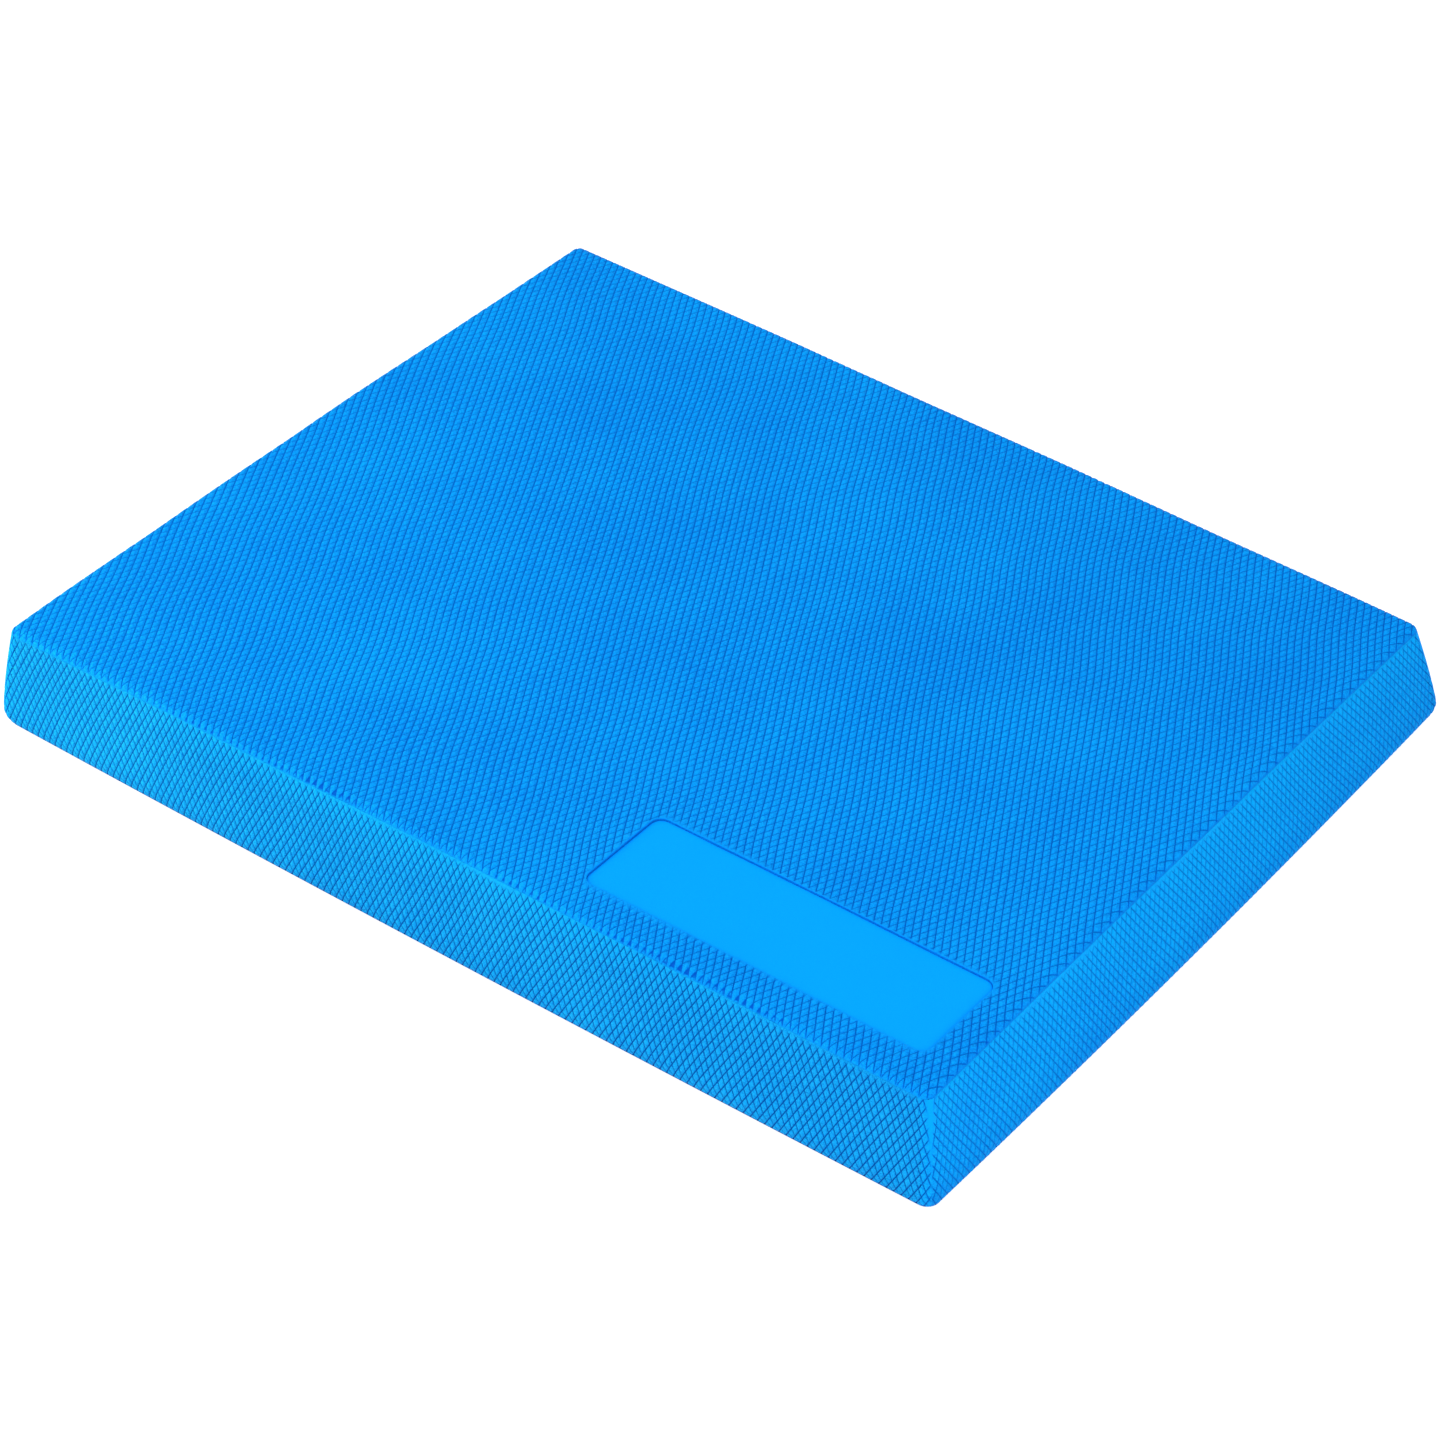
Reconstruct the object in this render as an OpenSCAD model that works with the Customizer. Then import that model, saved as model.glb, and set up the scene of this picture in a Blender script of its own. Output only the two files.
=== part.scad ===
// Balance pad for physiotherapy: a slab of closed-cell foam, laminated from boards and
// covered all round with embossed skins. The pad lies flat with its top facing up.
// The origin is the middle of the underside. +X runs along the pad towards the end that
// carries the label panel, +Y runs away from the long side next to that panel.

/* [Pad] */
// Length at the widest line, end to end
pad_length = 500; // [300:1:600]
// Width at the widest line, front to back
pad_width = 396; // [260:1:500]
// Total thickness
pad_height = 55; // [40:1:80]
// How far each short end leans in between the widest line and the top
end_lean = 9; // [2:0.5:14]
// How far each long side leans in between the widest line and the top
side_lean = 5; // [2:0.5:14]
// Radius of the rounded edge round the underside
foot_radius = 8; // [5:0.5:8]
// Radius of the rounded edge round the top
ridge_radius = 3; // [2:0.5:4]
// Radius of the four upright corners
corner_radius = 4.5; // [3.5:0.5:5]

/* [Skin] */
// Thickness of the embossed skins
skin_t = 3; // [2.5:0.5:4]
// Width of each leg of the smooth welded seam at a corner
seam_leg = 5; // [5:0.5:12]

/* [Core] */
// Number of foam boards laminated into the core, as counted in NODES
board_count = 5; // [5]

/* [Label panel] */
// Length of the smooth label panel
label_length = 170; // [60:1:200]
// Width of the smooth label panel
label_width = 53; // [30:1:80]
// Radius of its corners
label_radius = 5.5; // [2:0.5:10]
// Gap between the panel and the ridge of the short end
label_end_gap = 14.4; // [10:0.2:40]
// Gap between the panel and the ridge of the long side
label_side_gap = 19; // [10:0.2:40]
// Thickness of the panel
label_t = 1; // [0.6:0.1:1.2]
// How far the panel lies below the top of the pad
label_recess = 1; // [0.2:0.1:1.2]

/* [Hidden] */
$fn = 64;

skin_colour = "dodgerblue";
panel_colour = "deepskyblue";
foam_colour = "lightskyblue";

// A cutting solid runs past the pad by this much, so that no two faces coincide
past = 10;

board_t = (pad_height - 2 * skin_t) / board_count;

// Angle by which a face that leans in by lean tilts back from upright, when it touches
// the rounding of the foot and meets the top at the ridge
function tilt(lean) =
    asin(foot_radius / norm([foot_radius - lean, pad_height - foot_radius]))
    - atan2(foot_radius - lean, pad_height - foot_radius);

end_tilt = tilt(end_lean);
side_tilt = tilt(side_lean);

// Distance from the middle of the pad to a sloping face, at height z, for a face inset
// into the pad by inset
function reach(size, lean, z, inset) =
    size / 2 - lean + (pad_height - z) * tan(tilt(lean)) - inset / cos(tilt(lean));

// Cross-section of the whole pad: flat faces joined by rounded edges
module rounded_section(size, lean) {
    t = tilt(lean);
    foot_x = size / 2 - foot_radius;
    ridge_x = size / 2 - lean - ridge_radius * (1 - sin(t)) / cos(t);
    ridge_z = pad_height - ridge_radius;
    right = [
        [foot_x, 0],
        [foot_x + foot_radius * cos(t), foot_radius + foot_radius * sin(t)],
        [ridge_x + ridge_radius * cos(t), ridge_z + ridge_radius * sin(t)],
        [ridge_x, pad_height]
    ];
    left = [for (i = [len(right) - 1 : -1 : 0]) [-right[i][0], right[i][1]]];
    polygon(concat(right, left));
    for (s = [-1, 1]) {
        translate([s * foot_x, foot_radius]) circle(r = foot_radius);
        translate([s * ridge_x, ridge_z]) circle(r = ridge_radius);
    }
}

// Cross-section between two sloping faces that are inset into the pad
module inset_section(size, lean, inset) {
    low = reach(size, lean, -past, inset);
    high = reach(size, lean, pad_height + past, inset);
    polygon([[-low, -past], [low, -past], [high, pad_height + past], [-high, pad_height + past]]);
}

// A cross-section seen from the front, carried through the pad from front to back
module through_depth() {
    rotate([90, 0, 0])
        linear_extrude(height = pad_width + 2 * past, center = true) children();
}

// A cross-section seen from the right, carried through the pad from end to end
module through_length() {
    rotate([90, 0, 90])
        linear_extrude(height = pad_length + 2 * past, center = true) children();
}

// The space between the two end faces, inset by inset
module between_ends(inset) {
    through_depth() inset_section(pad_length, end_lean, inset);
}

// The space between the two long side faces, inset by inset
module between_sides(inset) {
    through_length() inset_section(pad_width, side_lean, inset);
}

// Rod along a corner, touching both faces that meet there
module corner_rod() {
    x = reach(pad_length, end_lean, 0, corner_radius);
    y = reach(pad_width, side_lean, 0, corner_radius);
    slope = [tan(end_tilt), tan(side_tilt)];
    translate([x, y, 0])
        rotate([0, atan(norm(slope)), 180 + atan2(slope[1], slope[0])])
            translate([0, 0, -past])
                cylinder(r = corner_radius, h = pad_height + 2 * past);
}

// Copies its child to all four corners
module at_corners() {
    for (i = [0, 1], j = [0, 1])
        mirror([i, 0, 0]) mirror([0, j, 0]) children();
}

// Outer form of the whole pad
module pad_form() {
    intersection() {
        through_depth() rounded_section(pad_length, end_lean);
        through_length() rounded_section(pad_width, side_lean);
        union() {
            between_ends(corner_radius);
            between_sides(corner_radius);
            at_corners() corner_rod();
        }
    }
}

// Everything between two heights
module layer(z0, z1) {
    translate([-pad_length / 2 - past, -pad_width / 2 - past, z0])
        cube([pad_length + 2 * past, pad_width + 2 * past, z1 - z0]);
}

// The quarter of space round one corner: sx and sy are its directions
module quarter(sx, sy) {
    translate([sx > 0 ? 0 : -pad_length, sy > 0 ? 0 : -pad_width, -past])
        cube([pad_length, pad_width, pad_height + 2 * past]);
}

// The half of space on one side: dir is [1, 0], [-1, 0], [0, 1] or [0, -1]
module half(dir) {
    translate([dir[0] > 0 ? 0 : -pad_length, dir[1] > 0 ? 0 : -pad_width, -past])
        cube([
            dir[0] == 0 ? 2 * pad_length : pad_length,
            dir[1] == 0 ? 2 * pad_width : pad_width,
            pad_height + 2 * past
        ]);
}

// Outline of the label panel
module label_outline() {
    x = pad_length / 2 - end_lean - label_end_gap - label_length / 2;
    y = -pad_width / 2 + side_lean + label_side_gap + label_width / 2;
    translate([x, y]) {
        square([label_length - 2 * label_radius, label_width], center = true);
        square([label_length, label_width - 2 * label_radius], center = true);
        for (i = [-1, 1], j = [-1, 1])
            translate([
                i * (label_length / 2 - label_radius),
                j * (label_width / 2 - label_radius)
            ])
                circle(r = label_radius);
    }
}

// The wall of skin round the core, between the top and bottom skins
module side_wall() {
    difference() {
        intersection() {
            pad_form();
            layer(skin_t, pad_height - skin_t);
        }
        intersection() {
            between_ends(skin_t);
            between_sides(skin_t);
        }
    }
}

// Embossed sheet on top, with the shallow pocket for the label panel
module top_skin() {
    pocket = label_t + label_recess;
    color(skin_colour) difference() {
        intersection() {
            pad_form();
            layer(pad_height - skin_t, pad_height + past);
        }
        translate([0, 0, pad_height - pocket])
            linear_extrude(height = pocket + past) label_outline();
    }
}

// Embossed sheet that lies on the floor
module bottom_skin() {
    color(skin_colour) intersection() {
        pad_form();
        layer(-past, skin_t);
    }
}

// Smooth panel bonded into the pocket of the top skin
module label_panel() {
    color(panel_colour)
        translate([0, 0, pad_height - label_t - label_recess])
            linear_extrude(height = label_t) label_outline();
}

// Embossed strip along a long side: sy is -1 at the front and 1 at the back
module side_skin(sy) {
    color(skin_colour) intersection() {
        side_wall();
        between_ends(seam_leg);
        half([0, sy]);
    }
}

// Embossed strip across an end: sx is -1 at the left and 1 at the right
module end_skin(sx) {
    color(skin_colour) intersection() {
        side_wall();
        between_sides(seam_leg);
        half([sx, 0]);
    }
}

// Smooth strip that welds a side skin to an end skin
module corner_seam(sx, sy) {
    color(skin_colour) intersection() {
        difference() {
            side_wall();
            between_ends(seam_leg);
            between_sides(seam_leg);
        }
        quarter(sx, sy);
    }
}

// One board of the laminated core, counted from the floor
module core_board(n) {
    color(foam_colour) intersection() {
        between_ends(skin_t);
        between_sides(skin_t);
        layer(skin_t + (n - 1) * board_t, skin_t + n * board_t);
    }
}

top_skin();
bottom_skin();
label_panel();
side_skin(-1);  // front_side_skin
side_skin(1);  // back_side_skin
end_skin(-1);  // left_end_skin
end_skin(1);  // right_end_skin
corner_seam(1, -1);  // front_right_corner_seam
corner_seam(1, 1);  // back_right_corner_seam
corner_seam(-1, 1);  // back_left_corner_seam
corner_seam(-1, -1);  // front_left_corner_seam
core_board(1);  // core_board_1
core_board(2);  // core_board_2
core_board(3);  // core_board_3
core_board(4);  // core_board_4
core_board(5);  // core_board_5
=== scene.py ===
"""Looks of the balance pad: embossed foam skins, a smooth label panel and the foam core."""

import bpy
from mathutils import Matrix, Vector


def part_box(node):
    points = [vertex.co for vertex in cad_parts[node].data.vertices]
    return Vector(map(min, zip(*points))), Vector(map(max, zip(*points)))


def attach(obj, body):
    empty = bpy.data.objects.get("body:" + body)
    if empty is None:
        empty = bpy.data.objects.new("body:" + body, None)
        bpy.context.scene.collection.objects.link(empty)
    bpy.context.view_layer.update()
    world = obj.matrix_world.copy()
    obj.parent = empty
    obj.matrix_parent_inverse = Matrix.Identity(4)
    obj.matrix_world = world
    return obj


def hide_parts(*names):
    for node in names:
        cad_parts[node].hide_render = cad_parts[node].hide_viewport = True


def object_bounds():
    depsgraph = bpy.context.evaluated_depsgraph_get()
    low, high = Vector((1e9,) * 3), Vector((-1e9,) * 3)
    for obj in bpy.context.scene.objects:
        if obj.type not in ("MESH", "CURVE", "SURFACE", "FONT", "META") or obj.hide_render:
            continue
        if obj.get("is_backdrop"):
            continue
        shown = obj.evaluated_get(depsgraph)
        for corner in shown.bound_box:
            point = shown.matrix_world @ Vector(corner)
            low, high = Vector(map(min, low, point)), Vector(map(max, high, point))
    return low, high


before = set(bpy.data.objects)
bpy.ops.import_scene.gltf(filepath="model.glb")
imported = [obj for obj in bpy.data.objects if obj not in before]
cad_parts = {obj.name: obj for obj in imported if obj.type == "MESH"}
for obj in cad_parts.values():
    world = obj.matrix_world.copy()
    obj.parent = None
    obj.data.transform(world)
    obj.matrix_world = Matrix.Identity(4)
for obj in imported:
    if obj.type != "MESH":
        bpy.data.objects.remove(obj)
cad_low, cad_high = (list(corner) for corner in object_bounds())

import math

import bpy
import numpy as np
from mathutils import Matrix, Vector
from mathutils.geometry import delaunay_2d_cdt

MM = 0.001  # the mesh code below works in millimetres, and the frame is in metres


def box_mm(node):
    """Lowest and highest corner of a CAD node, in millimetres."""
    low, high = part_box(node)
    return np.array(low) / MM, np.array(high) / MM


# ---------------------------------------------------------------- sizes, from the frame

PAD_X, PAD_Y, PAD_TOP = np.array(cad_high) / MM  # half length, half width, height
TOP_LOW, TOP_HIGH = box_mm("top_skin")
SEAM_LOW, SEAM_HIGH = box_mm("front_right_corner_seam")
LABEL_LOW, LABEL_HIGH = box_mm("label_panel")
BOARD_NODES = sorted(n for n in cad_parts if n.startswith("core_board_"))
BOARDS = [box_mm(node) for node in BOARD_NODES]

WALL_TOP = TOP_LOW[2]  # where the side skins end and the top skin begins
WALL_FOOT = box_mm("bottom_skin")[1][2]  # where the bottom skin ends and the side skins begin
HALF_TOP = TOP_HIGH[:2]  # half length and width at WALL_TOP
SEAM_LEG = (TOP_HIGH[0] - SEAM_LOW[0], -TOP_LOW[1] + SEAM_HIGH[1])  # a corner seam's reach along each face

# ---------------------------------------------------------------- shape, in millimetres

THINNEST = 1.5  # least thickness of a side skin, at its foot
CORE_R = 8.0  # upright corners of the core
CORNER_R = 4.5  # upright corners, at the top
CORNER_SPREAD = 1.0  # how much wider they are rounded at the widest line
WIDEST_Z = 10.5  # height of the widest line
FOOT_IN = 8.0  # how far the edge of the underside lies inside the widest line
BELLY = 1.15  # over 1 makes the sloping faces bulge
RIDGE_TILT = math.radians(12)  # how far the sloping faces lean at the ridge
RIDGE_R = (PAD_TOP - WALL_TOP) / (1 - math.sin(RIDGE_TILT))
RIDGE_IN = RIDGE_R * math.cos(RIDGE_TILT)  # how far the flat top lies inside the ridge

TOP_GROOVES = (0.38, 0.3)  # half the width of each family's grooves, on the flat skins
WALL_GROOVES = (0.39, 0.37)  # the same on the sloping faces
GROOVE_DEPTH = 0.45
CROWN = 0.12  # how far the middle of a diamond stands over its edges
WANDER = 0.55  # how far the lines of the pattern stray from straight ones
FADE = 0.9  # the pattern fades out over this distance at an edge
CODE = 4096  # splits a wave finely enough to tell the pattern's points apart

# The pad isn't quite square: soft foam cut by hand
TAPER = -0.009  # narrower to the right and to the back, as a share of its size
SKEW = -0.002  # how far the back has slid to the left, as a share of its distance
END_BOWS = (2.0, 2.0)  # how far the middle of the left and right end stands out
SIDE_BOWS = (1.7, 2.0)  # the same for the front and back
END_RIDGE_BOWS = (2.0, -1.2)  # the same at the ridge, where under 0 the middle is drawn in
SIDE_RIDGE_BOWS = (-2.0, 2.0)
DRAWN_IN = (0.15, 0.15)  # how far the ridge is drawn in on the whole, and how unevenly
SUNKEN = (0.5, 0.25)  # how far the top has sunk on the whole, and how unevenly
# How the top has shifted along, across and up: on the whole, to the right, to the back
# and to the corners that the diagonal joins
SHIFT_X = (-0.75, -0.25, -0.25, -0.75)
SHIFT_Y = (0.24, 0.59, -0.59, -0.94)
SHIFT_Z = (0.61, -0.11, -1.16, -1.14)
BACK_FOOT = 3.6  # how much further out the foot of the back lies
LEFT_FOOT = 2.0  # how much further in the foot of the left end lies

# Groove families of each skin, as waves per millimetre along and across the sheet
TOP_WAVES = ((0.276, 0.147), (0.281, -0.122))
SIDE_WAVES = ((0.290, 0.147), (0.294, -0.160))
END_WAVES = ((0.273, -0.176), (0.275, 0.115))


def outset(z, axis):
    """How far the sloping faces stand out at height z: axis 0 for the ends, 1 for the sides."""
    widest = (PAD_X, PAD_Y)[axis]
    z = np.asarray(z, float)
    rise = np.clip((z - WIDEST_Z) / (WALL_TOP - WIDEST_Z), 0, None)
    drop = np.clip((WIDEST_Z - z) / WIDEST_Z, 0, 1)
    lean = (widest - HALF_TOP[axis]) * rise**BELLY
    return widest - lean - FOOT_IN * (1 - np.sqrt(1 - drop**2))


def corner_radius(z):
    """Radius of the upright corners at height z."""
    down = np.clip((WALL_TOP - np.asarray(z, float)) / (WALL_TOP - WIDEST_Z), 0, 1)
    return CORNER_R + CORNER_SPREAD * down**2


def seam_leg(z):
    """How far the seam reaches round a corner at height z, along each face."""
    return np.mean(SEAM_LEG) + corner_radius(z) - CORNER_R


def core_outset(z, axis):
    """How far the foam core reaches at height z."""
    z0, z1 = BOARDS[0][0][2], BOARDS[-1][0][2]
    o0, o1 = BOARDS[0][1][axis], BOARDS[-1][1][axis]
    line = o0 + (np.asarray(z, float) - z0) * (o1 - o0) / (z1 - z0)
    return np.minimum(line, outset(z, axis) - THINNEST)


def waves(x, y, seed, count, shortest, longest):
    """A smooth random field of about unit height, the same on every run."""
    rng = np.random.default_rng(seed)
    total = np.zeros(np.shape(x))
    for _ in range(count):
        turn, phase = rng.uniform(0, 2 * math.pi, 2)
        k = 2 * math.pi / rng.uniform(shortest, longest)
        total = total + np.sin(k * (x * math.cos(turn) + y * math.sin(turn)) + phase)
    return total / math.sqrt(count)


def bow(x, high, foot, ridge):
    """How far the middle of a face stands out: high is 0 at its foot and 1 at its ridge."""
    below, above = (np.where(x > 0, pair[1], pair[0]) for pair in (foot, ridge))
    return below + (above - below) * high


def settle(points):
    """The soft unevenness of the whole pad: every piece's points go through it."""
    x, y, z = points[:, 0], points[:, 1], points[:, 2]
    along, across = x / PAD_X, y / PAD_Y
    high = np.clip((z - WIDEST_Z) / (PAD_TOP - WIDEST_Z), 0, 1)
    ripple = waves(y, z, seed=12, count=5, shortest=60, longest=200)
    drawn_in = high * (DRAWN_IN[0] + DRAWN_IN[1] * ripple)
    corners = np.stack([np.ones(len(x)), along, across, along * across])
    end_bow = bow(x, high, END_BOWS, END_RIDGE_BOWS) * (1 - across**2)
    side_bow = bow(y, high, SIDE_BOWS, SIDE_RIDGE_BOWS) * (1 - along**2)
    out = points.copy()
    out[:, 0] += TAPER * x * across + SKEW * y + along**4 * np.sign(x) * (end_bow - drawn_in)
    out[:, 0] += high * (SHIFT_X @ corners) + (1 - high) * LEFT_FOOT * np.clip(-along, 0, 1)
    out[:, 1] += TAPER * y * along + across**4 * np.sign(y) * (side_bow - drawn_in)
    out[:, 1] += high * (SHIFT_Y @ corners) + (1 - high) * BACK_FOOT * np.clip(across, 0, 1)
    out[:, 2] += np.clip(z / PAD_TOP, 0, 1) * (SHIFT_Z @ corners)
    ripple = waves(x, y, seed=11, count=9, shortest=55, longest=170)
    out[:, 2] -= high**2 * (SUNKEN[0] + SUNKEN[1] * ripple)
    return out


# ---------------------------------------------------------------- meshes


def rounded_loop(half_x, half_y, radius, centre=(0, 0), steps=7, spacing=6.0):
    """Points round a rectangle with rounded corners, anticlockwise."""
    points = []
    for quarter in range(4):
        sx, sy = ((1, 1), (-1, 1), (-1, -1), (1, -1))[quarter]
        corner = np.array([sx * (half_x - radius), sy * (half_y - radius)])
        for i in range(steps + 1):
            angle = math.pi / 2 * (quarter + i / steps)
            points.append(corner + radius * np.array([math.cos(angle), math.sin(angle)]))
    loop = []
    for a, b in zip(points, points[1:] + points[:1]):
        pieces = max(1, round(np.linalg.norm(b - a) / spacing))
        loop += [a + (b - a) * i / pieces for i in range(pieces)]
    return np.array(loop) + np.array(centre)


def rounded_distance(points, half_x, half_y, radius, centre=(0, 0)):
    """Distance from points to the inside of that outline: negative outside it."""
    q = abs(points - np.array(centre)) - np.array([half_x - radius, half_y - radius])
    outside = np.linalg.norm(np.maximum(q, 0), axis=1)
    return radius - outside - np.minimum(q.max(axis=1), 0)


def inward(points, half_x, half_y, radius):
    """How far a rounded rectangle must shrink, its corners as round as ever, to meet points."""
    q = abs(points) - np.array([half_x - radius, half_y - radius])
    apart = q[:, 0] - q[:, 1]
    round_it = (np.sqrt(np.clip(2 * radius**2 - apart**2, 0, None)) - q.sum(axis=1)) / 2
    return np.where(abs(apart) < radius, round_it, radius - q.max(axis=1))


def smooth_step(t):
    t = np.clip(t, 0, 1)
    return t * t * (3 - 2 * t)


class Lattice:
    """Two families of grooves that cross, and the diamonds between them."""

    def __init__(self, families, halves, seed):
        self.k = np.array(families)
        self.inset = np.array(halves) * np.linalg.norm(self.k, axis=1)
        self.seed = seed

    def wander(self, p):
        """How far the pattern strays from straight lines."""
        stray = [
            waves(p[:, 0], p[:, 1], seed=self.seed + i, count=5, shortest=45, longest=160)
            for i in (0, 1)
        ]
        return WANDER * np.stack(stray, axis=1)

    def place(self, uv):
        """Where a point of the pattern lies on the sheet."""
        p = uv @ np.linalg.inv(self.k).T
        return p + self.wander(p + self.wander(p))

    def relief(self, p):
        """(groove, crown) at points of the sheet: 1 at the bottom, 1 at a diamond's middle."""
        uv = (p - self.wander(p)) @ self.k.T
        off = abs(uv - np.round(uv))
        groove = np.clip(1 - (off / self.inset).min(axis=1), 0, 1)
        crown = np.clip((off - self.inset) / (0.5 - self.inset), 0, 1).min(axis=1)
        return groove, crown

    def lines(self, low, high, wanted):
        """Points and edges of all the diamonds near wanted, a test of distance."""
        corners = np.array([[low[0], low[1]], [low[0], high[1]], [high[0], low[1]], high])
        uv = corners @ self.k.T
        first = np.floor(uv.min(axis=0)).astype(int) - 2
        last = np.ceil(uv.max(axis=0)).astype(int) + 2
        spans = [np.arange(a, b) for a, b in zip(first, last)]
        grid = np.stack(np.meshgrid(*spans, indexing="ij"), axis=-1).reshape(-1, 2).astype(float)
        grid = grid[wanted(self.place(grid + 0.5))]
        a, b = self.inset
        # The points of a cell: its corners, the corners of its diamond, and its middle
        kinds = [(0, 0), (1, 0), (1, 1), (0, 1)]
        kinds += [(a, b), (1 - a, b), (1 - a, 1 - b), (a, 1 - b), (0.5, 0.5)]
        round_cell = [(i, (i + 1) % 4) for i in range(4)]
        round_diamond = [(i + 4, (i + 1) % 4 + 4) for i in range(4)]
        links = round_cell + round_diamond + [(i, i + 4) for i in range(4)]
        uv = np.concatenate([grid + np.array(kind) for kind in kinds])
        code = np.round((uv[:, 0] - first[0]) * CODE) * CODE**2 + np.round((uv[:, 1] - first[1]) * CODE)
        code, kept, index = np.unique(code, return_index=True, return_inverse=True)
        index = index.reshape(len(kinds), len(grid))
        edges = np.concatenate([np.stack([index[i], index[j]], axis=1) for i, j in links])
        edges = np.sort(edges, axis=1)
        edges = np.unique(edges[:, 0] * len(kept) + edges[:, 1])
        return self.place(uv[kept]), np.stack([edges // len(kept), edges % len(kept)], axis=1)


def triangulate(points, edges, keep):
    """Triangles over points that keep every edge, where keep says so of their middles."""
    merged = 1e-3  # points nearer than this become one
    made = delaunay_2d_cdt([Vector(p) for p in points], edges.tolist(), [], 0, merged, False)
    flat = np.array([tuple(v) for v in made[0]])
    faces = np.array(made[2])
    faces = faces[keep(flat[faces].mean(axis=1))]
    used, faces = np.unique(faces, return_inverse=True)
    return flat[used], faces.reshape(-1, 3)


def ring(start, count):
    """Edges that join count points into a closed loop."""
    index = np.arange(count)
    return np.stack([start + index, start + (index + 1) % count], axis=1)


def sheet_mesh(lattice, low, high, loops, near, keep):
    """A flat embossed sheet: the lattice, cut by loops, where keep says so."""
    points, edges = lattice.lines(low, high, near)
    points, edges = [points], [edges]
    count = len(points[0])
    for loop in loops:
        points.append(loop)
        edges.append(ring(count, len(loop)))
        count += len(loop)
    return triangulate(np.concatenate(points), np.concatenate(edges), keep)


def rim_loops(faces):
    """A triangulated sheet's borders, each an array of vertex numbers in its faces' order."""
    edges = np.concatenate([faces[:, [0, 1]], faces[:, [1, 2]], faces[:, [2, 0]]])
    many = faces.max() + 1
    forward, backward = edges[:, 0] * many + edges[:, 1], edges[:, 1] * many + edges[:, 0]
    following = dict(edges[~np.isin(forward, backward)].tolist())
    loops = []
    while following:
        start = next(iter(following))
        loop = [start]
        at = following.pop(start)
        while at != start:
            loop.append(at)
            at = following.pop(at)
        loops.append(np.array(loop))
    return loops


def cap(flat, loop):
    """Triangles that fill one border, on that border's own points."""
    points = [Vector(p) for p in flat[loop]]
    merged = 1e-4  # points nearer than this become one
    made = delaunay_2d_cdt(points, ring(0, len(loop)).tolist(), [list(range(len(loop)))], 1, merged, True)
    order = np.array([ids[0] for ids in made[3]])
    return loop[order[np.array(made[2])]]


def turned(flat, faces, way):
    """The triangles, all turned to run anticlockwise (way 1) or clockwise (way -1)."""
    a, b, c = (flat[faces[:, i]] for i in range(3))
    cross = (b[:, 0] - a[:, 0]) * (c[:, 1] - a[:, 1]) - (b[:, 1] - a[:, 1]) * (c[:, 0] - a[:, 0])
    return np.where((cross * way >= 0)[:, None], faces, faces[:, ::-1])


def tube(rings, count):
    """Four-sided faces between rings of count points each."""
    here = np.arange(count)
    step = np.arange(rings - 1)[:, None] * count
    low, low_next = step + here, step + (here + 1) % count
    return np.stack([low, low_next, low_next + count, low + count], axis=-1).reshape(-1, 4)


def padded_out(values, extra, fill=0.0):
    """The values, and fill for each of the extra points after them."""
    return np.concatenate([values, np.full(extra, fill)])


def skirt(rim, under):
    """Four-sided faces from a border to the same border on the far side."""
    return np.stack([rim, np.roll(rim, 1), np.roll(under, 1), under], axis=1)


def make_piece(name, points, shown, hidden, material, node, groove=0.0, band_share=0.0, crown=0.0):
    """A mesh object in place of a CAD node, riding the pad's one body.

    shown faces are smooth and hidden ones, at its joints, are flat. At each point groove is the depth in a
    groove, which sets how much of the groove colour, a painted shade, the skin takes, along with painted
    shade lines. The band's share is 1 where the skin takes the colour of its band, and crown is 1 at the
    middle of a diamond, which gets a painted highlight.
    """
    blocks = [*shown, *hidden]
    sizes = np.concatenate([np.full(len(block), block.shape[1]) for block in blocks])
    corners = np.concatenate([block.ravel() for block in blocks])
    count = sum(len(block) for block in shown)
    mesh = bpy.data.meshes.new(name)
    mesh.vertices.add(len(points))
    mesh.vertices.foreach_set("co", (settle(np.asarray(points, float)) * MM).ravel())
    mesh.loops.add(len(corners))
    mesh.loops.foreach_set("vertex_index", corners.astype(np.int32))
    mesh.polygons.add(len(sizes))
    mesh.polygons.foreach_set("loop_start", np.concatenate([[0], np.cumsum(sizes)[:-1]]).astype(np.int32))
    mesh.update(calc_edges=True)
    mesh.polygons.foreach_set("use_smooth", np.arange(len(sizes)) < count)
    for key, values in (("groove", groove), ("band_share", band_share), ("crown", crown)):
        values = np.array(np.broadcast_to(values, len(points)), np.float32)
        mesh.attributes.new(key, "FLOAT", "POINT").data.foreach_set("value", values)
    mesh.materials.append(material)
    mesh.validate()
    piece = bpy.data.objects.new(name, mesh)
    bpy.context.scene.collection.objects.link(piece)
    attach(piece, "root")
    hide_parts(node)
    return piece


# ---------------------------------------------------------------- materials


def node_of(tree, kind, **values):
    """A shader node with its sockets set by name."""
    node = tree.nodes.new(kind)
    for key, value in values.items():
        node.inputs[key.replace("_", " ")].default_value = value
    return node


FINE_SHARE = 3.0  # how much more the fine mottling counts than the cloudy one
MOTTLE_RANGE = (1.6, 2.4)  # the sum of both that gives the dark and the light colour
BRIGHTER = 1.3  # the painted highlight on a diamond's middle, against the light colour
CROWN_HIGHLIGHT = 0.2  # how much of that painted highlight shows
PORE_DEPTH = 0.0003  # in metres
# The finish that the embossed skins share
EMBOSSED = {"rough": 0.75, "specular": 0.02, "grain": 0.9, "cells": 1500.0}


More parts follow.
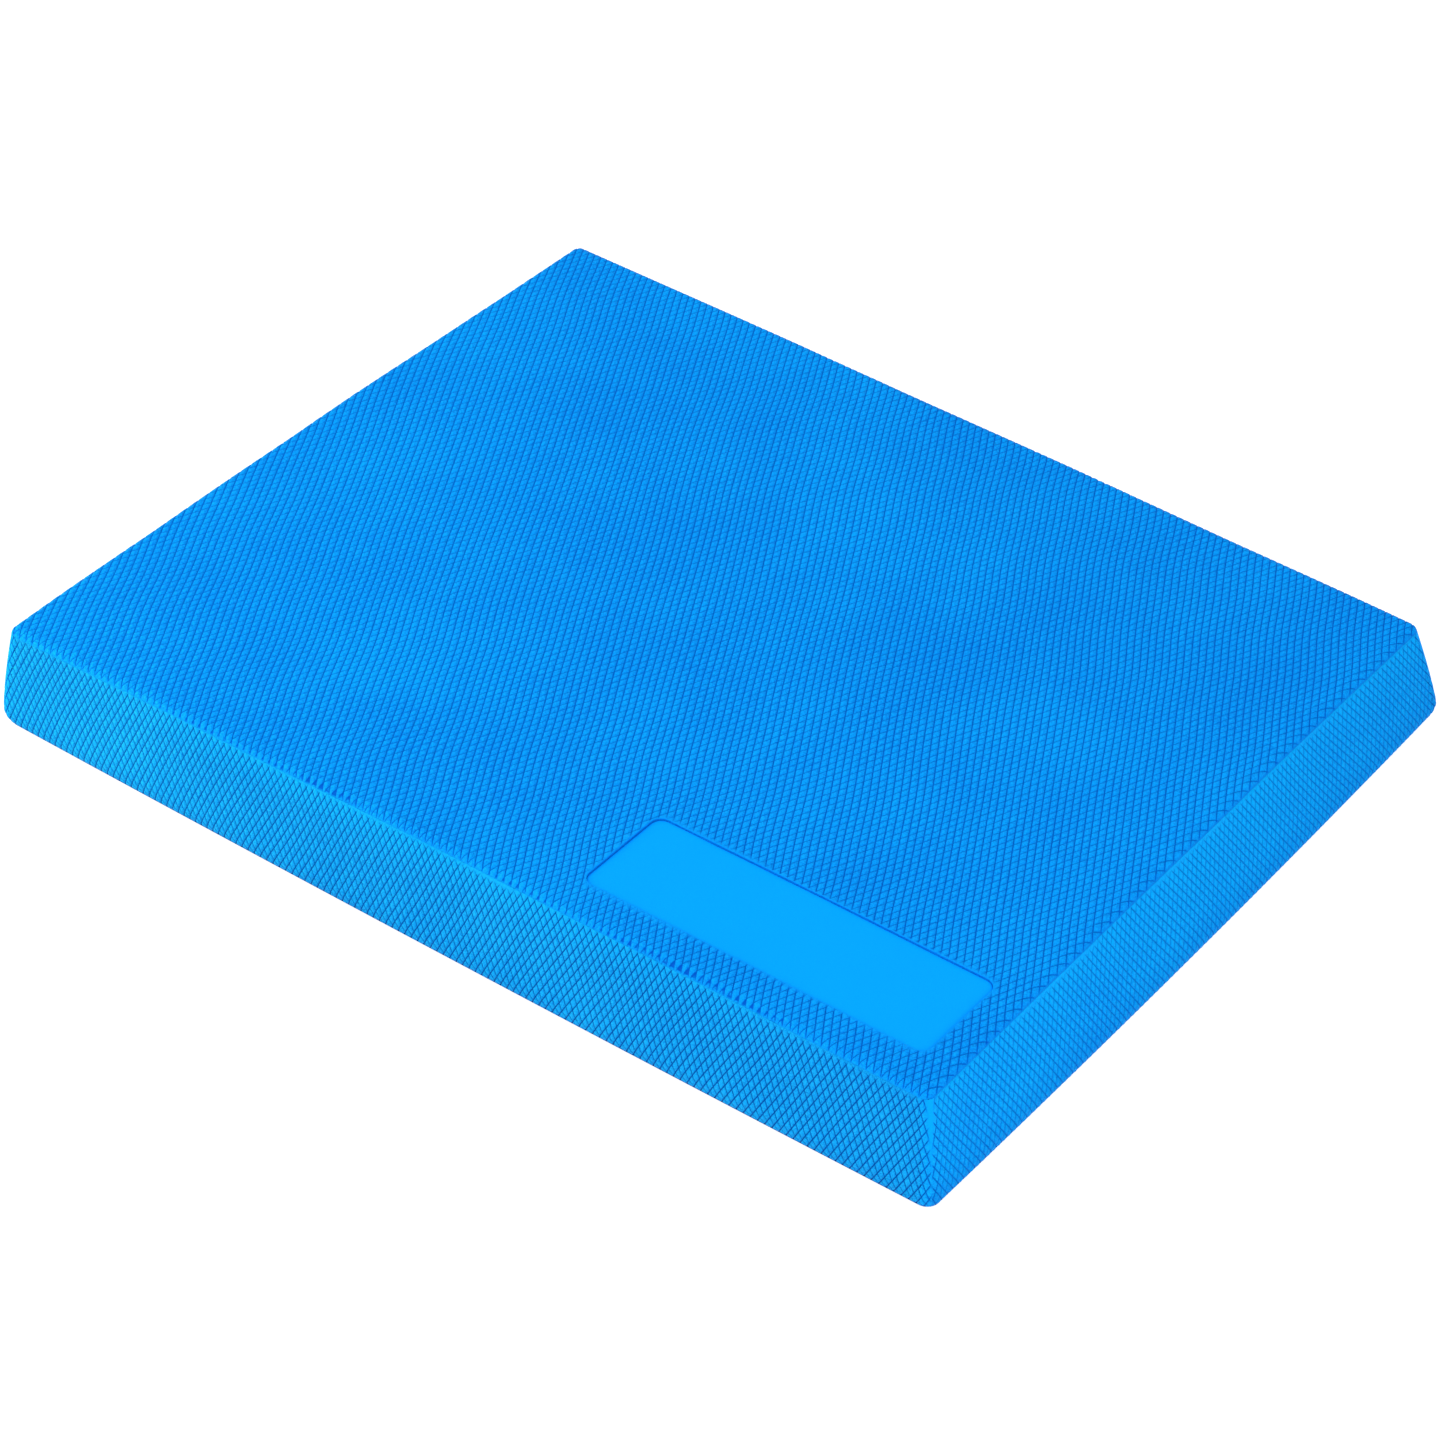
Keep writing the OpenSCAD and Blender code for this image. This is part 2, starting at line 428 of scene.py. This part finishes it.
def foam(name, light, dark, groove, band, rough, specular, grain, cells):
    """Closed-cell foam: mottled from dark to light, with a painted highlight on its diamonds' middles, the
    colour of its bands, and painted shade in its grooves.

    grain is how strong its pores are, and cells how many there are to a metre.
    """
    material = bpy.data.materials.new(name)
    material.use_nodes = True
    tree = material.node_tree
    tree.nodes.clear()
    link = tree.links.new
    out = tree.nodes.new("ShaderNodeOutputMaterial")
    shader = node_of(tree, "ShaderNodeBsdfPrincipled", Roughness=rough, Specular_IOR_Level=specular)
    link(shader.outputs["BSDF"], out.inputs["Surface"])
    place = tree.nodes.new("ShaderNodeTexCoord").outputs["Object"]

    def mixed(factor, a, b):
        """Colour a turning into b; a may be a socket or a colour."""
        mix = tree.nodes.new("ShaderNodeMix")
        mix.data_type = "RGBA"
        link(factor, mix.inputs["Factor"])
        if isinstance(a, tuple):
            mix.inputs["A"].default_value = (*a, 1)
        else:
            link(a, mix.inputs["A"])
        mix.inputs["B"].default_value = (*b, 1)
        return mix.outputs["Result"]

    def attribute(key):
        node = tree.nodes.new("ShaderNodeAttribute")
        node.attribute_name = key
        return node.outputs["Fac"]

    cloudy = node_of(tree, "ShaderNodeTexNoise", Scale=14.0, Detail=3.0, Roughness=0.6)
    fine = node_of(tree, "ShaderNodeTexNoise", Scale=cells, Detail=2.0, Roughness=0.6)
    for texture in (cloudy, fine):
        link(place, texture.inputs["Vector"])
    both = tree.nodes.new("ShaderNodeMath")
    both.operation = "MULTIPLY_ADD"
    link(fine.outputs["Fac"], both.inputs[0])
    both.inputs[1].default_value = FINE_SHARE
    link(cloudy.outputs["Fac"], both.inputs[2])
    spread = node_of(tree, "ShaderNodeMapRange", From_Min=MOTTLE_RANGE[0], From_Max=MOTTLE_RANGE[1])
    link(both.outputs[0], spread.inputs["Value"])
    mottle = mixed(spread.outputs["Result"], dark, light)
    # painted highlight: the middles of the diamonds turn towards a brighter colour
    bright = tuple(min(1.0, BRIGHTER * channel) for channel in light)
    highlight_share = tree.nodes.new("ShaderNodeMath")
    highlight_share.operation = "MULTIPLY"
    link(attribute("crown"), highlight_share.inputs[0])
    highlight_share.inputs[1].default_value = CROWN_HIGHLIGHT
    # the band colour: a painted highlight on the sides, ends and seams, a painted shade round the
    # underside, the smooth skin's own colour on top
    banded = mixed(attribute("band_share"), mixed(highlight_share.outputs[0], mottle, bright), band)
    # painted shade: the grooves and shade lines turn towards the darker groove colour
    link(mixed(attribute("groove"), banded, groove), shader.inputs["Base Color"])

    pores = node_of(tree, "ShaderNodeTexVoronoi", Scale=cells * 0.6)
    link(place, pores.inputs["Vector"])
    height = tree.nodes.new("ShaderNodeMath")
    height.operation = "ADD"
    link(fine.outputs["Fac"], height.inputs[0])
    link(pores.outputs["Distance"], height.inputs[1])
    bump = node_of(tree, "ShaderNodeBump", Strength=grain, Distance=PORE_DEPTH)
    link(height.outputs[0], bump.inputs["Height"])
    link(bump.outputs["Normal"], shader.inputs["Normal"])
    return material


# One foam for all skins: the top, side, end and seam copies differ in tint and in groove darkness as
# painted light, standing in for how the lamps fall on each face
top_foam_painted_light = foam(
    "embossed_foam_top_painted_light",
    light=(0.0015, 0.313, 0.86),
    dark=(0.0005, 0.195, 0.72),
    groove=(0.0, 0.08, 0.50),
    band=(0.001, 0.27, 0.82),
    **EMBOSSED,
)
foot_foam_painted_shade = foam(
    "embossed_foam_foot_painted_shade",
    light=(0.0015, 0.313, 0.86),
    dark=(0.0005, 0.195, 0.72),
    groove=(0.0, 0.08, 0.50),
    # band: painted shade round the rim of the underside
    band=(0.0, 0.14, 0.55),
    **EMBOSSED,
)
side_foam_painted_light = foam(
    "embossed_foam_side_painted_light",
    light=(0.006, 0.338, 0.78),
    dark=(0.001, 0.205, 0.65),
    groove=(0.0, 0.03, 0.33),
    # band: painted highlight below the ridge
    band=(0.001, 0.40, 0.93),
    **EMBOSSED,
)
end_foam_painted_light = foam(
    "embossed_foam_end_painted_light",
    light=(0.0015, 0.348, 0.82),
    dark=(0.001, 0.224, 0.74),
    groove=(0.0, 0.12, 0.54),
    # band: painted highlight below the ridge
    band=(0.001, 0.38, 0.90),
    **EMBOSSED,
)
seam_foam_painted_light = foam(
    "seam_foam_painted_light",
    light=(0.003, 0.345, 0.82),
    dark=(0.001, 0.22, 0.70),
    groove=(0.0, 0.05, 0.38),
    # band: painted highlight down the rounded corner
    band=(0.001, 0.32, 0.92),
    **{**EMBOSSED, "grain": 0.6},
)
smooth_foam = foam(
    "smooth_foam",
    light=(0.0, 0.315, 0.97),
    dark=(0.0, 0.30, 0.95),
    # groove: painted shade on the panel's edge, down into the gap round it
    groove=(0.0, 0.15, 0.6),
    band=(0.0, 0.31, 0.97),
    rough=0.65,
    specular=0.02,
    grain=0.12,
    cells=2200.0,
)
cut_foam = foam(
    "cut_foam",
    light=(0.05, 0.42, 0.85),
    dark=(0.02, 0.33, 0.75),
    groove=(0.01, 0.2, 0.6),
    band=(0.03, 0.38, 0.8),
    rough=0.85,
    specular=0.1,
    grain=0.9,
    cells=900.0,
)

# ---------------------------------------------------------------- top and bottom skins


def ridge_height(d):
    """Height of the top skin at a distance d inside its border."""
    d = np.asarray(d, float)
    across = np.clip(RIDGE_IN - d, 0, None)
    return PAD_TOP - RIDGE_R + np.sqrt(RIDGE_R**2 - across**2)


RIM_STEPS = 14  # how many steps the edge of the top and bottom skins takes round a corner

LABEL_MID = (LABEL_LOW[:2] + LABEL_HIGH[:2]) / 2
LABEL_HALF = (LABEL_HIGH[:2] - LABEL_LOW[:2]) / 2
LABEL_R = 5.5  # corners of the label panel
LABEL_LIP = 0.35  # rounding of the pocket's edge
LABEL_GAP = 0.08  # gap round the panel
LABEL_RIPPLE = 0.06  # unevenness of the panel
POCKET_SHADE = 0.42  # how dark the painted shade on the wall of the pocket is, against a groove

RIDGE_FADE = 0.4  # the pattern fades out over this distance at the ridge
RIDGE_BARE = 1.5  # width of the smooth band along the ridge, for a painted highlight of 1
RIDGE_HIGHLIGHT = (0.4, 0.45)  # strength of the painted highlight by the ridge, on an end, and on a side in its middle
RIDGE_REACH = 0.85  # a side's ridge has the painted highlight over this share of its length
RIDGE_HIGHLIGHT_DOWN = (18.0, 14.0)  # the painted highlight by the ridge reaches this far down an end, a side
RIDGE_SHADE_WIDTH = 0.8  # width of the painted shade line along the right ridge, on the top skin
RIDGE_SHADE_DARK = 0.4  # how dark it is, against a groove
SEAM_BAND = (-0.9, 1.1)  # half the width of the smooth band, where a highlight is painted, at a corner's foot and ridge; under 0 it is faint
SEAM_TURN = 1.0  # how far the band turns onto the end, at the ridge
SEAM_FADE = 1.8  # the pattern fades out over this distance beside it
SEAM_END = 35.0  # the band's painted highlight dies away over this height at its foot
LABEL_BAND = 0.1  # width of the bare band round the label
FOOT_SHADE = 1.0  # width of the darker rim of the underside
FOOT_LINE = 1.4  # height of the painted shade line along the foot of the sloping faces
FOOT_DARK = 0.6  # how dark it is, against a groove
END_SHADE = (22.0, 0.5)  # the ends darken below this height, by this much at the floor


def top_skin():
    """Embossed sheet on top, with its rounded ridge and the pocket of the label panel."""
    lattice = Lattice(TOP_WAVES, TOP_GROOVES, 21)
    outline = (*HALF_TOP, CORNER_R)
    label = (*LABEL_HALF, LABEL_R, LABEL_MID)
    loops = [
        rounded_loop(HALF_TOP[0] - d, HALF_TOP[1] - d, CORNER_R - d, steps=RIM_STEPS, spacing=2 + 2 * d)
        for d in (0, 0.2, 0.6, 1.3, RIDGE_IN)
    ]
    loops += [
        rounded_loop(LABEL_HALF[0] + d, LABEL_HALF[1] + d, LABEL_R + d, LABEL_MID, spacing=4)
        for d in (0, 0.12, LABEL_LIP)
    ]

    def near(p):
        return (rounded_distance(p, *outline) > -1) & (rounded_distance(p, *label) < 1)

    def keep(p):
        return (rounded_distance(p, *outline) > 0) & (rounded_distance(p, *label) < 0)

    flat, faces = sheet_mesh(lattice, -HALF_TOP, HALF_TOP, loops, near, keep)
    edge = rounded_distance(flat, *outline)
    off_label = -rounded_distance(flat, *label)
    groove, crown = lattice.relief(flat)
    amount = smooth_step(edge / RIDGE_FADE) * smooth_step((off_label - LABEL_BAND) / FADE)
    # painted shade: a darker line along the right ridge of the top skin
    at_end = smooth_step((flat[:, 0] - HALF_TOP[0] + 2 * RIDGE_SHADE_WIDTH) / RIDGE_SHADE_WIDTH)
    ridge_shade = RIDGE_SHADE_DARK * at_end * np.clip(1 - edge / RIDGE_SHADE_WIDTH, 0, 1)
    on_lip = np.clip(LABEL_LIP - off_label, 0, LABEL_LIP)
    lip = LABEL_LIP - np.sqrt(np.clip(LABEL_LIP**2 - on_lip**2, 0, None))
    height = ridge_height(edge) - lip + amount * (CROWN * crown - GROOVE_DEPTH * groove - CROWN)

    faces = turned(flat, faces, 1)
    border, pocket = sorted(rim_loops(faces), key=len, reverse=True)
    brim = len(flat) + np.arange(len(pocket))
    floor = brim + len(pocket)
    at = np.zeros(len(flat), int)
    at[pocket] = floor
    points = np.concatenate(
        [
            np.column_stack([flat, height]),
            np.column_stack([flat[pocket], height[pocket]]),
            np.column_stack([flat[pocket], np.full(len(pocket), LABEL_LOW[2])]),
        ]
    )
    return make_piece(
        "top_skin_embossed",
        points,
        [faces],
        [turned(flat, cap(flat, border), -1), skirt(brim, floor), at[turned(flat, cap(flat, pocket), 1)]],
        top_foam_painted_light,
        "top_skin",
        # painted shade: the grooves, a line along the right ridge, and the wall of the pocket
        padded_out(np.maximum(groove * amount, ridge_shade), 2 * len(pocket), POCKET_SHADE),
        padded_out(1 - amount, 2 * len(pocket)),
        padded_out(crown * amount, 2 * len(pocket)),
    )


def bottom_skin():
    """Embossed sheet underneath, with its rounded foot."""
    lattice = Lattice(TOP_WAVES, TOP_GROOVES, 31)
    half = np.array([outset(WALL_FOOT, 0), outset(WALL_FOOT, 1)])
    radius = float(corner_radius(WALL_FOOT))
    outline = (*half, radius)
    levels = np.array([0, 0.3, 0.65, 0.9, 1.0])  # from the wall down to the floor
    heights = WALL_FOOT * (1 - levels)
    steps = half[0] - outset(heights, 0)
    loops = [
        rounded_loop(half[0] - d, half[1] - d, radius, steps=RIM_STEPS, spacing=2 + d) for d in steps
    ]

    def near(p):
        return rounded_distance(p, *outline) > -1

    def keep(p):
        return rounded_distance(p, *outline) > 0

    flat, faces = sheet_mesh(lattice, -half, half, loops, near, keep)
    edge = inward(flat, *outline)
    groove, crown = lattice.relief(flat)
    amount = smooth_step(edge / FADE)
    height = np.interp(edge, steps, heights) + amount * (GROOVE_DEPTH * groove + CROWN * (1 - crown))
    faces = turned(flat, faces, -1)
    (border,) = rim_loops(faces)
    return make_piece(
        "bottom_skin_embossed",
        np.column_stack([flat, height]),
        [faces],
        [turned(flat, cap(flat, border), 1)],
        foot_foam_painted_shade,
        "bottom_skin",
        groove * amount,
        # painted shade round the rim of the underside, in the band colour
        smooth_step(FOOT_SHADE - edge),
        crown * amount,
    )


def label_panel():
    """Smooth panel, a little domed, with soft edges."""
    drops = ((0, 0.35), (0.25, 0.1), (0.8, 0.0))  # distance inside the edge, fall of the edge
    inner = 1.2  # the points of the grid keep this far inside the edge
    outline = (LABEL_HALF[0] - LABEL_GAP, LABEL_HALF[1] - LABEL_GAP, LABEL_R - LABEL_GAP, LABEL_MID)
    loops = [
        rounded_loop(outline[0] - d, outline[1] - d, outline[2] - d, LABEL_MID, spacing=4) for d, _ in drops
    ]
    step = 4.0
    spans = [np.arange(LABEL_LOW[i] + 2, LABEL_HIGH[i] - 1, step) for i in (0, 1)]
    grid = np.stack(np.meshgrid(*spans), axis=-1).reshape(-1, 2)
    grid = grid[rounded_distance(grid, *outline) > inner]
    starts = len(grid) + np.concatenate([[0], np.cumsum([len(loop) for loop in loops])[:-1]])
    flat, faces = triangulate(
        np.concatenate([grid, *loops]),
        np.concatenate([ring(start, len(loop)) for start, loop in zip(starts, loops)]),
        lambda p: rounded_distance(p, *outline) > 0,
    )
    edge = rounded_distance(flat, *outline)
    fall = np.interp(edge, [d for d, _ in drops], [f for _, f in drops])
    ripple = waves(flat[:, 0], flat[:, 1], seed=41, count=6, shortest=25, longest=70)
    height = LABEL_HIGH[2] - fall + LABEL_RIPPLE * ripple
    faces = turned(flat, faces, 1)
    (border,) = rim_loops(faces)
    under = len(flat) + np.arange(len(border))
    at = np.zeros(len(flat), int)
    at[border] = under
    points = np.concatenate(
        [
            np.column_stack([flat, height]),
            np.column_stack([flat[border], np.full(len(border), LABEL_LOW[2])]),
        ]
    )
    return make_piece(
        "label_panel_smooth",
        points,
        [faces],
        [skirt(border, under), at[turned(flat, cap(flat, border), -1)]],
        smooth_foam,
        "label_panel",
        # painted shade on the panel's edge, down into the gap round it
        padded_out(np.zeros(len(flat)), len(border), 1.0),
    )


# ---------------------------------------------------------------- side skins and seams


def profile(axis):
    """Heights down a sloping face, the distance walked to each, and how far it stands out."""
    z = np.concatenate(
        [np.linspace(WALL_TOP, WIDEST_Z, 40, endpoint=False), np.linspace(WIDEST_Z, WALL_FOOT, 25)]
    )
    out = outset(z, axis)
    walked = np.concatenate([[0], np.cumsum(np.hypot(np.diff(z), np.diff(out)))])
    return z, walked, out


# Heights at which a sloping face's mesh has a level line, from its ridge to its foot
ROW_HEIGHTS = [WALL_TOP, 40, 30, 20, WIDEST_Z, 7, 5.5, 4.2, WALL_FOOT]
SEAM_ROWS, SEAM_COLUMNS = 190, 48  # how finely a corner seam is divided, up and across

WALL_LATTICES = {
    (1, -1): Lattice(SIDE_WAVES, WALL_GROOVES, 51),
    (1, 1): Lattice(SIDE_WAVES, WALL_GROOVES, 61),
    (0, -1): Lattice(END_WAVES, WALL_GROOVES, 71),
    (0, 1): Lattice(END_WAVES, WALL_GROOVES, 81),
}


def foot_painted_shade(z, axis):
    """The painted shade on a sloping face towards its foot, against a groove."""
    height, most = END_SHADE
    shade = most * np.clip(1 - z / height, 0, 1) if axis == 0 else 0
    return np.maximum(shade, FOOT_DARK * smooth_step((WALL_FOOT + FOOT_LINE - z) / FOOT_LINE))


def ridge_highlight(s, t, axis):
    """The painted highlight on a sloping face by the ridge, s along it: most in the middle of a side."""
    if axis == 0:
        return np.full(len(s), RIDGE_HIGHLIGHT[0])
    return RIDGE_HIGHLIGHT[1] * np.clip(1 - (s / (RIDGE_REACH * PAD_X)) ** 2, 0, 1)


def wall_skin(node, axis, sign, material):
    """One embossed strip: axis 1 is a long side and 0 an end, sign its direction."""
    lattice = WALL_LATTICES[axis, sign]
    z_list, walked, out_list = profile(axis)
    deep = walked[-1]
    along = 1 - axis  # the axis that the strip runs along
    rows = np.interp(ROW_HEIGHTS, z_list[::-1], walked[::-1])
    spare = 3  # the pattern is made this far past the border, and then cut

    def half_at(t):
        z = np.interp(t, walked, z_list)
        return outset(z, along) - seam_leg(z)

    right = [(half_at(t), t) for t in rows]
    border = np.array(right + [(-s, t) for s, t in right[::-1]])
    edge_list = [ring(0, len(border))]
    inner, count = [border], len(border)
    for s, t in right[1:-1]:
        inner.append(np.array([(s, t), (-s, t)]))
        edge_list.append(np.array([[count, count + 1]]))
        count += 2
    lines, edges = lattice.lines(
        (-right[-1][0] - 5, -spare),
        (right[-1][0] + 5, deep + spare),
        lambda p: (abs(p[:, 0]) < half_at(p[:, 1]) + spare) & (p[:, 1] > -spare) & (p[:, 1] < deep + spare),
    )
    flat, faces = triangulate(
        np.concatenate(inner + [lines]),
        np.concatenate(edge_list + [edges + count]),
        lambda p: (abs(p[:, 0]) < half_at(p[:, 1])) & (p[:, 1] > 0) & (p[:, 1] < deep),
    )
    s, t = flat[:, 0], flat[:, 1]
    z = np.interp(t, walked, z_list)
    out = np.interp(t, walked, out_list)
    lean = np.interp(t, walked, np.gradient(out_list, z_list))
    normal = np.stack([np.ones(len(s)), -lean]) / np.hypot(1, lean)  # outwards, up
    groove, crown = lattice.relief(flat)
    lit = ridge_highlight(s, t, axis)
    amount = smooth_step((t - RIDGE_BARE * lit) / RIDGE_FADE)
    sink = amount * (GROOVE_DEPTH * groove + CROWN * (1 - crown))
    shell = np.zeros((len(s), 3))
    shell[:, along] = s
    shell[:, axis] = sign * (out - sink * normal[0])
    shell[:, 2] = np.clip(z - sink * normal[1], WALL_FOOT, WALL_TOP)

    way = -sign if axis == 1 else sign
    faces = turned(flat, faces, -way)
    (rim,) = rim_loops(faces)
    back = len(flat) + np.arange(len(rim))
    at = np.zeros(len(flat), int)
    at[rim] = back
    inside = np.zeros((len(rim), 3))
    inside[:, along] = s[rim]
    inside[:, axis] = sign * core_outset(z[rim], axis)
    inside[:, 2] = z[rim]
    return make_piece(
        node + "_embossed",
        np.concatenate([shell, inside]),
        [faces],
        [skirt(rim, back), at[turned(flat, cap(flat, rim), way)]],
        material,
        node,
        # painted shade in the grooves, along the foot, and on the ends towards the floor
        padded_out(np.maximum(groove * amount, foot_painted_shade(z, axis)), len(rim)),
        # painted highlight below the ridge, in the band colour
        padded_out(lit * np.clip(1 - t / RIDGE_HIGHLIGHT_DOWN[axis], 0, 1), len(rim)),
        padded_out(crown * amount, len(rim)),
    )


def corner_seam(node, sx, sy):
    """Rounded strip that joins a side skin to an end skin, smooth down its middle, where a highlight is
    painted.
    """
    levels = np.linspace(WALL_FOOT, WALL_TOP, SEAM_ROWS)
    across = np.linspace(0, 1, SEAM_COLUMNS + 1)
    walks = [np.interp(levels, z[::-1], walked[::-1]) for z, walked, _ in (profile(0), profile(1))]
    rings, grooves, bares, crowns = [], [], [], []
    for z, t_end, t_side in zip(levels, *walks):
        x, y = float(outset(z, 0)), float(outset(z, 1))
        leg, radius = float(seam_leg(z)), float(corner_radius(z))
        straight, arc = leg - radius, radius * math.pi / 2
        total = 2 * straight + arc
        d = across * total
        angle = np.clip((d - straight) / radius, 0, math.pi / 2)
        px = x - radius * (1 - np.cos(angle)) - np.clip(d - straight - arc, 0, None)
        py = y - radius * (1 - np.sin(angle)) - np.clip(straight - d, 0, None)
        on_end = np.column_stack([sy * (y - leg + d), np.full(len(d), t_end)])
        on_side = np.column_stack([sx * (x - leg + total - d), np.full(len(d), t_side)])
        first = d < total / 2
        end_lattice, side_lattice = WALL_LATTICES[0, sx], WALL_LATTICES[1, sy]
        groove, crown = np.where(first, end_lattice.relief(on_end), side_lattice.relief(on_side))
        high = ((z - WALL_FOOT) / (WALL_TOP - WALL_FOOT)) ** 2
        aside = abs(d - total / 2 + SEAM_TURN * high) - np.interp(high, (0, 1), SEAM_BAND)
        amount = smooth_step(aside / SEAM_FADE) * smooth_step(t_side / RIDGE_FADE)
        sink = amount * (GROOVE_DEPTH * groove + CROWN * (1 - crown))
        px, py = px - sink * np.cos(angle), py - sink * np.sin(angle)
        deepest = radius * (1 - math.sqrt(0.5)) + THINNEST
        core_x, core_y = min(core_outset(z, 0), x - deepest), min(core_outset(z, 1), y - deepest)
        px = np.concatenate([px, [x - leg, core_x, core_x]])
        py = np.concatenate([py, [core_y, core_y, y - leg]])
        rings.append(np.column_stack([sx * px, sy * py, np.full(len(px), z)]))
        dark = np.where(first, foot_painted_shade(z, 0), foot_painted_shade(z, 1))
        # painted shade in the grooves and along the foot
        grooves.append(padded_out(np.maximum(groove * amount, dark), 3))
        # painted highlight down the smooth middle of the corner
        bares.append(padded_out((1 - amount) * smooth_step((z - WALL_FOOT) / SEAM_END), 3))
        crowns.append(padded_out(crown * amount, 3))
    count = SEAM_COLUMNS + 4
    faces = tube(len(rings), count)
    outer = np.arange(len(faces)) % count < SEAM_COLUMNS
    lids = np.array([np.arange(count)[::-1], (len(rings) - 1) * count + np.arange(count)])
    if sx * sy < 0:
        faces, lids = faces[:, ::-1], lids[:, ::-1]
    return make_piece(
        node + "_smooth",
        np.concatenate(rings),
        [faces[outer]],
        [faces[~outer], lids],
        seam_foam_painted_light,
        node,
        np.concatenate(grooves),
        np.concatenate(bares),
        np.concatenate(crowns),
    )


# ---------------------------------------------------------------- foam core


def core_board(node, low, high):
    """One board of cut foam, a little uneven on its faces."""
    across, levels, inset = 40, 5, 0.6
    widest = np.array([core_outset(high[2], 0), core_outset(high[2], 1)])
    shape = rounded_loop(*widest, CORE_R, steps=6, spacing=2 * widest[0] / across) / widest
    count = len(shape)
    points = []
    for n, z in enumerate(np.linspace(low[2], high[2], levels)):
        soft = inset if n in (0, levels - 1) else 0
        half = np.array([core_outset(z, 0), core_outset(z, 1)]) - soft
        points.append(np.column_stack([shape * half, np.full(count, z)]))
    points = np.concatenate(points)
    flat = points[:count, :2]
    lid = cap(flat, np.arange(count))
    lids = [turned(flat, lid, -1), turned(flat, lid, 1) + (levels - 1) * count]
    return make_piece(node + "_foam", points, [tube(levels, count)], lids, cut_foam, node)


top_skin()
bottom_skin()
label_panel()
wall_skin("front_side_skin", 1, -1, side_foam_painted_light)
wall_skin("back_side_skin", 1, 1, side_foam_painted_light)
wall_skin("left_end_skin", 0, -1, end_foam_painted_light)
wall_skin("right_end_skin", 0, 1, end_foam_painted_light)
for corner, sx, sy in (
    ("front_right", 1, -1), ("back_right", 1, 1), ("back_left", -1, 1), ("front_left", -1, -1)
):
    corner_seam(corner + "_corner_seam", sx, sy)
for board, (low, high) in zip(BOARD_NODES, BOARDS):
    core_board(board, low, high)

# ---------------------------------------------------------------- floor, light and camera


def stage():
    """The white floor, bright enough to show no shadow."""
    mesh = bpy.data.meshes.new("floor")
    size = 6.0
    corners = [(-size, -size, 0), (size, -size, 0), (size, size, 0), (-size, size, 0)]
    mesh.from_pydata(corners, [], [(0, 1, 2, 3)])
    floor = bpy.data.objects.new("floor", mesh)
    bpy.context.scene.collection.objects.link(floor)
    material = bpy.data.materials.new("floor_white")
    material.use_nodes = True
    shader = material.node_tree.nodes["Principled BSDF"]
    shader.inputs["Base Color"].default_value = (0.25, 0.25, 0.25, 1)
    shader.inputs["Emission Color"].default_value = (1, 1, 1, 1)
    shader.inputs["Emission Strength"].default_value = 0.9
    shader.inputs["Roughness"].default_value = 0.9
    shader.inputs["Specular IOR Level"].default_value = 0.1
    mesh.materials.append(material)
    floor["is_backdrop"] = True


def softbox(name, place, target, size, power, colour=(1, 1, 1)):
    """A square area light at a place, turned to its target: metres and watts."""
    data = bpy.data.lights.new(name, "AREA")
    data.shape = "SQUARE"
    data.size = size
    data.energy = power
    data.color = colour
    lamp = bpy.data.objects.new(name, data)
    lamp.location = place
    lamp.rotation_euler = (Vector(target) - Vector(place)).to_track_quat("-Z", "Y").to_euler()
    bpy.context.scene.collection.objects.link(lamp)


def studio():
    """Even white surroundings, and four soft lights."""
    world = bpy.data.worlds.new("studio")
    bpy.context.scene.world = world
    world.use_nodes = True
    sky = world.node_tree.nodes["Background"]
    sky.inputs["Color"].default_value = (1, 1, 1, 1)
    sky.inputs["Strength"].default_value = 0.75
    softbox("key", (-1.2, -0.8, 0.9), (-0.1, 0, 0), 0.8, 11)
    softbox("left", (-0.6, -0.5, 0.15), (-0.25, -0.2, 0.03), 0.3, 2.6, (1, 1, 0.35))
    softbox("right", (1.1, -0.7, 0.5), (0.1, 0, 0), 0.8, 6)
    softbox("top", (-0.2, 0.6, 2.4), (0, 0, 0), 1.6, 14)
    view = bpy.context.scene.view_settings
    view.view_transform = "Standard"
    view.look = "None"


def camera():
    """The camera, at the angle from which the pad was photographed."""
    azimuth, elevation, roll = math.radians(36.98), math.radians(39.09), math.radians(0.8)
    length = 2 * PAD_X * MM  # the unit of the view's distances
    distance, shift_right, shift_up = 4.0682 * length, -0.0029 * length, -0.0849 * length
    level = math.cos(elevation)
    back = Vector((math.sin(azimuth) * level, -math.cos(azimuth) * level, math.sin(elevation)))
    right = Vector((math.cos(azimuth), math.sin(azimuth), 0))
    up = back.cross(right)
    turned_right = math.cos(roll) * right + math.sin(roll) * up
    turned_up = math.cos(roll) * up - math.sin(roll) * right
    middle = Vector((0, 0, PAD_TOP * MM))
    place = middle + turned_right * shift_right + turned_up * shift_up + back * distance
    data = bpy.data.cameras.new("camera")
    data.sensor_width = 36.0
    data.lens = 116.24
    data.clip_end = 50
    eye = bpy.data.objects.new("camera", data)
    axes = Matrix((turned_right, turned_up, back)).transposed().to_4x4()
    eye.matrix_world = Matrix.Translation(place) @ axes
    bpy.context.scene.collection.objects.link(eye)
    bpy.context.scene.camera = eye


stage()
studio()
camera()
